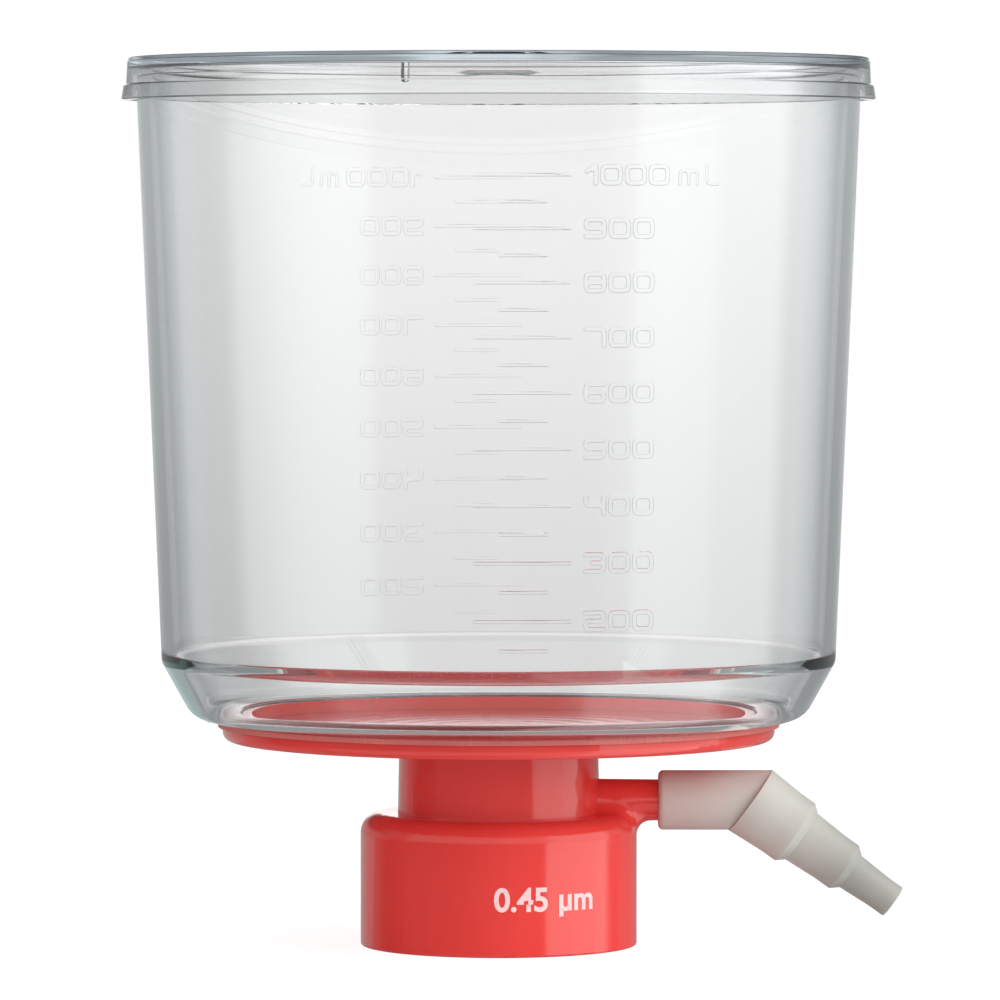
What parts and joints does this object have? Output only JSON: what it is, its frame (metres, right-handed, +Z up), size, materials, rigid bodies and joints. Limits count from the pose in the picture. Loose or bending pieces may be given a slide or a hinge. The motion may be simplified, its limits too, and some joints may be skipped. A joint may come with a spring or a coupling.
{
  "type": "vacuum filtration unit",
  "caption": "Bottle-top vacuum filter: clear lidded funnel with a moulded capacity scale on a red base with a screw collar, side arm and stepped elbow hose adapter.",
  "frame": {"origin": "centre of the collar's mouth, on the plane the unit stands on", "axes": "+Z up through the collar, stem and funnel; +X along the side arm"},
  "size_m": [0.1359, 0.131, 0.1544],
  "materials": {
    "lid": "clear polystyrene, polished",
    "funnel": "clear polystyrene, polished",
    "membrane": "microporous white film",
    "filter_base": "moulded polystyrene, glossy",
    "neck_gasket": "soft white elastomer",
    "hose_adapter": "natural polypropylene, satin"
  },
  "bodies": {
    "unit": {"filter_base": "filter_base", "funnel": "funnel", "membrane": "membrane", "neck_gasket": "neck_gasket"},
    "lid": {"lid": "lid"},
    "hose_adapter": {"hose_adapter": "hose_adapter"}
  },
  "joints": [
    {"name": "lid_lift", "type": "slide", "parent": "unit", "child": "lid", "axis": [0, 0, 1], "range_m": [0, 0.03]},
    {"name": "adapter_swivel", "type": "hinge", "parent": "unit", "child": "hose_adapter", "pos_m": [0.0349, 0, 0.0252], "axis": [1, 0, 0], "continuous": true}
  ]
}
